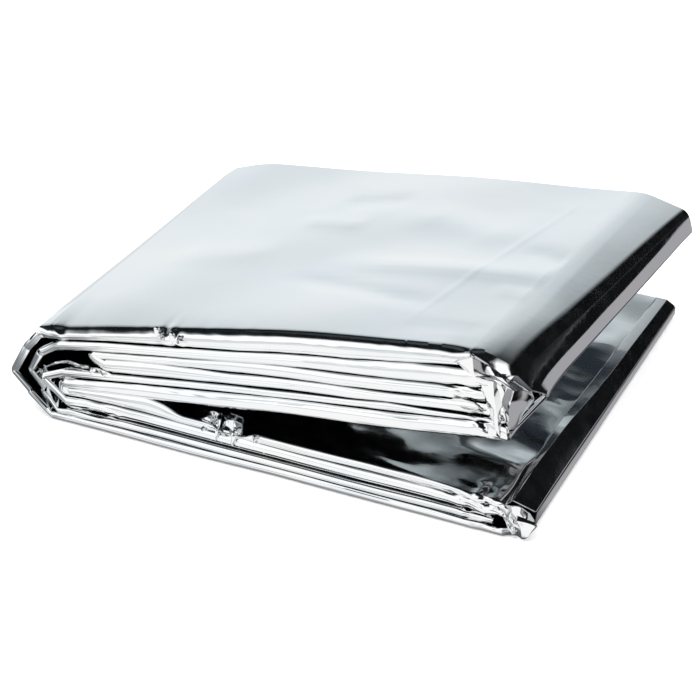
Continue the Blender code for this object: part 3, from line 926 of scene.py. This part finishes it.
# Film crushed in the hollows between the folds: from its top line back inside to its bottom line at the
# front, both as (x, y, z) from left to right, with its facets' height, size and seed.
Hollow = namedtuple("Hollow", "top bottom crumple size seed")
HOLLOWS = {
    "lower_hinge_hollow": Hollow(
        ((-3.2, 6.0, 8.6), (3.0, 6.0, 7.6), (9.0, 3.0, 6.2)),
        ((-1.0, 0.8, 2.2), (3.0, 0.2, 2.4), (9.5, 0.2, 4.2)), 0.8, 1.8, 32),
}
HOLLOW_STEP = 0.3
HOLLOW_HEIGHT = 9.0  # along its slope, for the number of its rows
HOLLOW_DEPTH = 8.0  # where the film is crumpled in full
LEAST_CRUMPLE = 0.22  # as a share, where a hollow is shallow
FINE_CREASES = Creases(0.12, 1, 0.8, 5)  # its seed is added to the hollow's

# Creased ribbons of film that show as a bright frame in the dark of the hinge, as the points (x, y, z) of
# their middle line and their width.
Ribbon = namedtuple("Ribbon", "line width")
RIBBONS = (
    Ribbon(((-2.8, 3.0, 11.1), (0.9, 2.0, 13.8), (3.6, 3.0, 14.4)), 0.6),
    Ribbon(((3.6, 3.0, 14.4), (7.6, 2.0, 14.7), (10.3, 1.5, 15.4)), 0.9),
    Ribbon(((-1.8, 2.0, 10.0), (2.6, 1.0, 11.1), (10.4, 1.2, 13.4)), 0.8),
    Ribbon(((-2.8, 3.0, 11.1), (-1.5, 2.0, 10.1)), 1.6),
    Ribbon(((0.9, 4.0, 11.2), (4.2, 3.0, 11.6), (7.4, 3.0, 12.1)), 1.3),
)
RIBBON_STEPS = 9
RIBBON_LEAN = 0.25
RIBBON_WAVER = 0.3
WAVER_TURNS = (1.9, 10)  # the phase for each step along a ribbon, and for each mm of its width
WAVER_ASIDE = 0.1

# Narrow pleats that stand out of the front edges, as the middle of the pleat, its top, its bottom, its
# width and how far it stands forward.
Pleat = namedtuple("Pleat", "x top bottom width forward")
PLEATS = (
    Pleat(29.6, 32.1, 29.4, 1.7, 0.40), Pleat(30.9, 31.2, 29.2, 0.8, 1.2), Pleat(33.4, 31.6, 28.9, 1.6, 0.45),
    Pleat(35.3, 31.2, 29.4, 0.9, 1.2), Pleat(44.1, 9.0, 5.4, 0.8, 0.9), Pleat(48.6, 9.4, 5.2, 1.5, 1.3),
    Pleat(54.0, 9.6, 7.7, 1.6, 1.2), Pleat(40.8, 8.2, 7.2, 1.3, 0.9),
)
# A pleat's cross-section, as (x as a share of its width, forward as a share), and its outline from its top
# down, as (height as a share, width as a share, forward as a share).
PLEAT_SECTION = ((-0.5, 0.0), (-0.42, 1.0), (-0.34, 1.0), (0.5, 0.0))
PLEAT_OUTLINE = ((0.0, 0.5, 0.0), (0.3, 1.0, 0.45), (0.75, 0.7, 1.0), (0.92, 0.35, 0.9), (1.0, 0.05, 0.4))
PLEAT_FOOT = 0.15  # how far behind the front edge its sides stand

TUCK_CUTS = 5  # how finely each cell of a tuck is divided
TUCK_THICKNESS = 0.2
TUCK_CRUMPLE = 0.05
TUCK_CRUMPLE_SIZE = 1.0


def refined(values, cuts):
    """The rows of an array with cuts - 1 more rows put evenly between each two."""
    at = np.linspace(0, len(values) - 1, cuts * (len(values) - 1) + 1)
    low = np.minimum(at.astype(int), len(values) - 2)
    share = (at - low).reshape(-1, *[1] * (values.ndim - 1))
    return values[low] * (1 - share) + values[low + 1] * share


def tuck_grid(rows, seed):
    """A tuck's points, finely crumpled. Its facets keep their straight creases."""
    grid = refined(refined(np.array(rows), TUCK_CUTS).transpose(1, 0, 2), TUCK_CUTS).transpose(1, 0, 2)
    grid[..., 1] += TUCK_CRUMPLE * facets(grid[..., 0], grid[..., 2], TUCK_CRUMPLE_SIZE, seed)
    return grid


def evenly_along(line, count):
    """Points evenly spaced along a line through some others."""
    line = np.array(line)
    at = np.concatenate(([0], np.cumsum(np.linalg.norm(np.diff(line, axis=0), axis=1))))
    places = np.linspace(0, at[-1], count)
    return np.stack([np.interp(places, at, axis) for axis in line.T], axis=1)


def hollow_grid(hollow):
    """The crushed film of one hollow."""
    wide = hollow.top[-1][0] - hollow.top[0][0]
    top, bottom = (evenly_along(line, round(wide / HOLLOW_STEP)) for line in (hollow.top, hollow.bottom))
    grid = np.linspace(top, bottom, round(HOLLOW_HEIGHT / HOLLOW_STEP))
    deep = np.clip((top - bottom)[:, 1] / HOLLOW_DEPTH, LEAST_CRUMPLE, 1.0)
    fine = FINE_CREASES._replace(seed=hollow.seed + FINE_CREASES.seed)
    crumple = creased((Creases(1, 1, hollow.size, hollow.seed), fine), grid[..., 0], grid[..., 2])
    grid[..., 1] += hollow.crumple * deep * crumple
    return grid


def ribbon_grid(ribbon):
    """A ribbon's points: it leans back at its top and wavers along its length."""
    line = evenly_along(ribbon.line, RIBBON_STEPS)
    phase = np.arange(RIBBON_STEPS) * WAVER_TURNS[0] + ribbon.width * WAVER_TURNS[1]
    waver = RIBBON_WAVER * np.sin(phase)
    up = np.stack((WAVER_ASIDE * waver, RIBBON_LEAN + waver, np.ones(RIBBON_STEPS)), axis=1)
    up = up * ribbon.width / 2
    return np.array((line + up, line - up))


def pleat_grid(pleat):
    """A pleat's points. It stands out further towards its lower end, where it runs to a point."""
    across, forward = np.array(PLEAT_SECTION).T
    rows = []
    for down, wide, out in PLEAT_OUTLINE:
        x = pleat.x + across * pleat.width * wide
        y = PLEAT_FOOT - forward * pleat.forward * out
        z = np.full(len(across), mix(pleat.top, pleat.bottom, down))
        rows.append(np.stack((x, y, z), axis=1))
    return np.array(rows)


def sheet_mesh(name, grids):
    """One mesh of sheets through grids of points."""
    cloth = bmesh.new()
    for grid in grids:
        corners = [[cloth.verts.new(point * MM + TABLE_ORIGIN) for point in row] for row in grid]
        for above, below in zip(corners, corners[1:]):
            for quad in zip(above, above[1:], below[1:], below):
                cloth.faces.new(quad)
    mesh = bpy.data.meshes.new(name)
    cloth.to_mesh(mesh)
    cloth.free()
    mesh.shade_smooth()
    mesh.set_sharp_from_angle(angle=CREASE_ANGLE)
    return mesh


def tucked_pieces():
    """The grids of each small piece, by its name."""
    pieces = {name: [tuck_grid(rows, len(name))] for name, rows in TUCKS.items()}
    pieces.update({name: [hollow_grid(hollow)] for name, hollow in HOLLOWS.items()})
    pieces["hinge_frame"] = [ribbon_grid(ribbon) for ribbon in RIBBONS]
    pieces["front_pleats"] = [pleat_grid(pleat) for pleat in PLEATS]
    return pieces


# ---------------------------------------------------------------- stage
# The floor's reflection, painted by position on a glowing card that only the film sees, as stops over the
# distance from the packet's middle in metres: to the back, and to the right. It is painted dark under the
# packet's own edges and where the gap of the sprung fold looks out: painted shade in the reflection.
PAINTED_REFLECTION_BY_DEPTH = (
    (-0.3, "#EDEEEF"), (-0.12, "#FFFFFF", 1.05), (-0.054, "#FFFFFF", 1.05), (-0.0505, "#3A4046"),
    (0.04, "#4A5258"), (0.056, "#2C3238"), (0.072, "#2C3238"), (0.088, "#8A8F93"), (0.2, "#6A7178"),
)
# Painted shade beside the packet: black under its edges, and painted grey bands where the reflection should
# be dimmer.
PAINTED_REFLECTION_BY_SIDE = (
    (-0.058, "#E6E9EB"), (-0.054, "#000000"), (0.058, "#000000"), (0.0605, "#A8A6A9"),
    (0.0667, "#A8A6A9"), (0.0685, "#0C0D0E"), (0.078, "#0C0D0E"), (0.084, "#A9A7AB"),
    (0.17, "#A9A7AB"), (0.21, "#101214"),
)
# The second table is darkened in front of the packet with painted shade. It takes over where its share is
# white, and in front of the packet that begins further to the right.
FLOOR_FRONT_SHADE = ((-0.12, "#FFFFFF"), (-0.07, "#8B8E91"), (-0.045, "#8B8E91"), (-0.035, "#FFFFFF"))
SIDE_SHARE = ((-0.06, "#FFFFFF"), (-0.054, "#000000"), (0.058, "#000000"), (0.0605, "#FFFFFF"))
SIDE_SHARE_IN_FRONT = ((-0.06, "#FFFFFF"), (-0.054, "#000000"), (0.068, "#000000"), (0.072, "#FFFFFF"))
IN_FRONT = ((-0.054, "#FFFFFF"), (-0.052, "#000000"))
FLOOR_REACH = 0.3  # how far these tables' values may go each way

# What the film reflects on each side, as stops over the height of the reflected direction, from -1 to 1.
FRONT_SKY = (
    (-0.04, "#FFFFFF"), (0.03, "#C4C8CB"), (0.10, "#FFFFFF", 1.15), (0.46, "#FFFFFF", 1.2),
    (0.57, "#A9AFB3"), (0.66, "#23282C"), (0.74, "#0E1012"),
)
SIDE_SKY = ((-1.0, "#30363B"), (0.0, "#1A1E21"), (1.0, "#0B0C0E"))
BACK_LEFT_SKY = (
    (-1.0, "#20262B"), (-0.03, "#59636B"), (0.01, "#EDEFF0", 1.13), (0.08, "#E8ECEE", 1.13),
    (0.17, "#E3E8EB", 1.13), (0.28, "#D3DADE", 1.13), (0.40, "#C2CACE", 1.1), (0.50, "#969DA1"),
    (0.56, "#7E8588"), (0.62, "#2A2D30"), (0.66, "#121416"), (0.74, "#121416"),
    (0.83, "#3E4448"), (0.95, "#3E4448"), (1.0, "#121416"),
)
BACK_RIGHT_SKY = (
    (-1.0, "#A09EA2"), (-0.02, "#8F8D91"), (0.0, "#2A2C2F"), (0.04, "#101214"), (0.50, "#0B0C0E"),
)
SIDE_CARD = ((-0.02, "#30363B"), (0.03, "#C9CDD0"), (0.7, "#C9CDD0"), (0.85, "#1A1E21"))
# Where one side gives way to the next, as the x or y of the reflected direction.
LEFT_TO_RIGHT = (-0.12, 0.24)
BACK_TO_CARD = (0.74, 0.80)
FRONT_TO_SIDE = (0.14, 0.30)
SIDE_TO_CARD = (0.44, 0.52)
SIDE_TO_FRONT = (-0.88, -0.76)
FRONT_TO_BACK = (-0.22, -0.02)

FLOOR_LEVEL = -0.0002
# the level of the glowing card that carries the painted floor reflection
PAINTED_REFLECTION_LEVEL = -0.0001
FLOOR_ROUGHNESS = 0.9
SOFT_LIGHT = 1.7  # the strength of the even light all round
LAMP_SIZE = 2.2
LAMP_PLACE = (-0.2, -0.5, 1.6)
LENS_MM = 135.0
SENSOR_MM = 36.0
NEAREST_SEEN = 0.01
CAMERA_TARGET = Vector((0.00474, -0.01363, 0.01329))


def plane(context, name, size, level, material):
    """A square plane of the stage."""
    mesh = bpy.data.meshes.new(name)
    sheet = bmesh.new()
    bmesh.ops.create_grid(sheet, x_segments=1, y_segments=1, size=size / 2)
    sheet.to_mesh(mesh)
    sheet.free()
    mesh.materials.append(material)
    made = bpy.data.objects.new(name, mesh)
    made.location.z = level
    context.scene.collection.objects.link(made)
    return made


def make_floor(context, settings):
    """White card, and over it a glowing card that only the film's reflections see: a painted floor
    reflection, with painted shade near the packet.
    """
    paint = bpy.data.materials.new("matt_white_card")
    paint.use_nodes = True
    shader = paint.node_tree.nodes["Principled BSDF"]
    shader.inputs["Base Color"].default_value = linear(settings.floor_colour)
    shader.inputs["Roughness"].default_value = FLOOR_ROUGHNESS
    floor = plane(context, "floor", settings.floor_size, FLOOR_LEVEL, paint)
    floor.visible_glossy = False

    # A painted reflection: an emitting card whose colour, graded by position, paints the floor and its shade
    # for the film.
    reflection_paint = bpy.data.materials.new("painted_reflection_of_floor")
    reflection_paint.use_nodes = True
    tree = reflection_paint.node_tree
    tree.nodes.clear()
    place = add_node(tree, "ShaderNodeNewGeometry")
    axes = add_node(tree, "ShaderNodeSeparateXYZ", links={"Vector": place.outputs["Position"]})
    behind, shade, in_front = (
        ramp(tree, axes.outputs["Y"], stops, -FLOOR_REACH, FLOOR_REACH)
        for stops in (PAINTED_REFLECTION_BY_DEPTH, FLOOR_FRONT_SHADE, IN_FRONT))
    plain, share_behind, share_in_front = (
        ramp(tree, axes.outputs["X"], stops, -FLOOR_REACH, FLOOR_REACH)
        for stops in (PAINTED_REFLECTION_BY_SIDE, SIDE_SHARE, SIDE_SHARE_IN_FRONT))
    beside = add_node(
        tree, "ShaderNodeMix", {"data_type": "RGBA", "blend_type": "MULTIPLY"}, {"Factor": 1.0},
        {"A": plain, "B": shade})
    share = add_node(
        tree, "ShaderNodeMix", {"data_type": "RGBA"}, None,
        {"Factor": in_front, "A": share_behind, "B": share_in_front})
    tone = add_node(
        tree, "ShaderNodeMix", {"data_type": "RGBA"}, None,
        {"Factor": share.outputs["Result"], "A": behind, "B": beside.outputs["Result"]})
    light = add_node(tree, "ShaderNodeEmission", links={"Color": tone.outputs["Result"]})
    add_node(tree, "ShaderNodeOutputMaterial", links={"Surface": light.outputs["Emission"]})
    seen = plane(context, "painted_reflection_card", settings.floor_size, PAINTED_REFLECTION_LEVEL, reflection_paint)
    seen.visible_camera = False
    seen.visible_diffuse = False
    seen.visible_shadow = False


def make_surroundings(context):
    """A white softbox from the front, a pale card low at the back and left, and black cloth elsewhere."""
    world = bpy.data.worlds.new("studio")
    world.use_nodes = True
    tree = world.node_tree
    tree.nodes.clear()
    where = add_node(tree, "ShaderNodeTexCoord")
    axes = add_node(tree, "ShaderNodeSeparateXYZ", links={"Vector": where.outputs["Generated"]})
    across, along_y, up = (axes.outputs[name] for name in "XYZ")

    front, side, back_left, back_right, side_card = (
        ramp(tree, up, stops, -1.0, 1.0)
        for stops in (FRONT_SKY, SIDE_SKY, BACK_LEFT_SKY, BACK_RIGHT_SKY, SIDE_CARD))

    def blend(source, span, first, second):
        share = add_node(
            tree, "ShaderNodeMapRange", {"interpolation_type": "SMOOTHSTEP"},
            {"From Min": span[0], "From Max": span[1]}, {"Value": source})
        made = add_node(
            tree, "ShaderNodeMix", {"data_type": "RGBA"}, None,
            {"Factor": share.outputs["Result"], "A": first, "B": second})
        return made.outputs["Result"]

    back = blend(across, LEFT_TO_RIGHT, back_left, back_right)
    back = blend(across, BACK_TO_CARD, back, side_card)
    front = blend(across, FRONT_TO_SIDE, front, side)
    front = blend(across, SIDE_TO_CARD, front, side_card)
    front = blend(across, SIDE_TO_FRONT, side, front)
    all_round = blend(along_y, FRONT_TO_BACK, front, back)
    sky = add_node(tree, "ShaderNodeBackground", links={"Color": all_round})
    plain = add_node(tree, "ShaderNodeBackground", values={"Color": (1, 1, 1, 1), "Strength": SOFT_LIGHT})
    ray = add_node(tree, "ShaderNodeLightPath")
    both = add_node(tree, "ShaderNodeMixShader", links={"Fac": ray.outputs["Is Glossy Ray"]})
    tree.links.new(plain.outputs["Background"], both.inputs[1])
    tree.links.new(sky.outputs["Background"], both.inputs[2])
    add_node(tree, "ShaderNodeOutputWorld", links={"Surface": both.outputs["Shader"]})
    context.scene.world = world
    context.scene.view_settings.view_transform = "Standard"


def make_lamp(context, settings):
    """A softbox overhead, which lights the floor and which the film doesn't show."""
    lamp = bpy.data.lights.new("overhead_softbox", "AREA")
    lamp.shape = "SQUARE"
    lamp.size = LAMP_SIZE
    lamp.energy = settings.lamp_power
    hung = bpy.data.objects.new("overhead_softbox", lamp)
    hung.location = LAMP_PLACE
    hung.rotation_euler = (-Vector(LAMP_PLACE)).to_track_quat("-Z", "Y").to_euler()
    hung.visible_glossy = False
    context.scene.collection.objects.link(hung)


def make_camera(context, settings):
    """The camera, which looks down on the packet from its front and right."""
    azimuth, elevation = settings.camera_azimuth, settings.camera_elevation
    level = math.cos(elevation)
    away = Vector((math.sin(azimuth) * level, -math.cos(azimuth) * level, math.sin(elevation)))
    lens = bpy.data.cameras.new("camera")
    lens.lens = LENS_MM
    lens.sensor_width = SENSOR_MM
    lens.clip_start = NEAREST_SEEN
    camera = bpy.data.objects.new("camera", lens)
    camera.location = CAMERA_TARGET + away * settings.camera_distance
    camera.rotation_euler = (-away).to_track_quat("-Z", "Y").to_euler()
    context.scene.collection.objects.link(camera)
    context.scene.camera = camera


# ---------------------------------------------------------------- settings
class FoilBlanketSettings(bpy.types.PropertyGroup):
    """Sizes and colours that a user would change."""

    camera_azimuth: bpy.props.FloatProperty(
        name="Camera azimuth", description="How far the camera stands round to the right of the front edge",
        default=math.radians(24.287), subtype="ANGLE", unit="ROTATION")
    camera_elevation: bpy.props.FloatProperty(
        name="Camera elevation", description="How far the camera looks down on the packet",
        default=math.radians(32.173), subtype="ANGLE", unit="ROTATION")
    camera_distance: bpy.props.FloatProperty(
        name="Camera distance", description="From the camera to the point that it looks at",
        default=0.61873, subtype="DISTANCE", unit="LENGTH")
    film_cool: bpy.props.FloatVectorProperty(
        name="Film, thinner coat", description="The film's reflection where its aluminium is thinner",
        default=srgb("#EEF1F3"), size=3, min=0.0, max=1.0, subtype="COLOR_GAMMA")
    film_warm: bpy.props.FloatVectorProperty(
        name="Film, thicker coat", description="The film's reflection where its aluminium is thicker",
        default=srgb("#F3F3F2"), size=3, min=0.0, max=1.0, subtype="COLOR_GAMMA")
    least_haze: bpy.props.FloatProperty(
        name="Least haze", description="The film's roughness where handling left it bright",
        default=0.03, min=0.0, max=1.0, subtype="FACTOR")
    most_haze: bpy.props.FloatProperty(
        name="Most haze", description="The film's roughness in the smears that handling left",
        default=0.10, min=0.0, max=1.0, subtype="FACTOR")
    floor_colour: bpy.props.FloatVectorProperty(
        name="Floor colour", description="The matt card that the packet lies on",
        default=srgb("#F4F4F4"), size=3, min=0.0, max=1.0, subtype="COLOR_GAMMA")
    floor_size: bpy.props.FloatProperty(
        name="Floor size", description="The side of the square floor",
        default=8.0, subtype="DISTANCE", unit="LENGTH")
    lamp_power: bpy.props.FloatProperty(
        name="Lamp power", description="The power of the softbox overhead",
        default=16.0, subtype="POWER", unit="POWER")


# ---------------------------------------------------------------- operators
class FOIL_OT_tucks(bpy.types.Operator):
    """Makes the crumpled tucks at the corners and the hinge."""

    bl_idname = "foil_blanket.tucks"
    bl_label = "Crumpled tucks"

    def execute(self, context):
        film = metallised_film_material(context.scene.foil_blanket)
        for name, grids in tucked_pieces().items():
            tuck = bpy.data.objects.new(name, sheet_mesh(name, grids))
            context.scene.collection.objects.link(tuck)
            tuck.data.materials.append(film)
            thickness = tuck.modifiers.new("thickness", "SOLIDIFY")
            thickness.thickness = TUCK_THICKNESS * MM
            thickness.offset = 0.0
            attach(tuck, "root")
        return {"FINISHED"}


class FOIL_OT_film(bpy.types.Operator):
    """Makes the folded film in place of its solid."""

    bl_idname = "foil_blanket.film"
    bl_label = "Folded film"

    def execute(self, context):
        points, strip = film_points()
        film = bpy.data.objects.new("folded_film", strip_mesh("folded_film", points))
        context.scene.collection.objects.link(film)
        film.data.materials.append(metallised_film_material(context.scene.foil_blanket))
        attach(film, "root")
        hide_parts(NODE)
        return {"FINISHED"}


class FOIL_OT_stage(bpy.types.Operator):
    """Makes the floor, the light and the camera."""

    bl_idname = "foil_blanket.stage"
    bl_label = "Stage"

    def execute(self, context):
        settings = context.scene.foil_blanket
        make_floor(context, settings)
        make_surroundings(context)
        make_lamp(context, settings)
        make_camera(context, settings)
        return {"FINISHED"}


class FOIL_PT_panel(bpy.types.Panel):
    """Lists the steps that build the blanket and its stage."""

    bl_idname = "FOIL_PT_panel"
    bl_label = "Foil blanket"
    bl_space_type = "VIEW_3D"
    bl_region_type = "UI"
    bl_category = "Foil blanket"

    def draw(self, context):
        settings = context.scene.foil_blanket
        for name in FoilBlanketSettings.__annotations__:
            self.layout.prop(settings, name)
        for step in STEPS:
            self.layout.operator(step.bl_idname)


STEPS = (FOIL_OT_tucks, FOIL_OT_film, FOIL_OT_stage)
CLASSES = (FoilBlanketSettings, *STEPS, FOIL_PT_panel)


def register():
    for kind in CLASSES:
        bpy.utils.register_class(kind)
    bpy.types.Scene.foil_blanket = bpy.props.PointerProperty(type=FoilBlanketSettings)


def unregister():
    del bpy.types.Scene.foil_blanket
    for kind in reversed(CLASSES):
        bpy.utils.unregister_class(kind)


def main():
    register()
    bpy.ops.foil_blanket.tucks()
    bpy.ops.foil_blanket.film()
    bpy.ops.foil_blanket.stage()


if __name__ == "__main__":
    main()
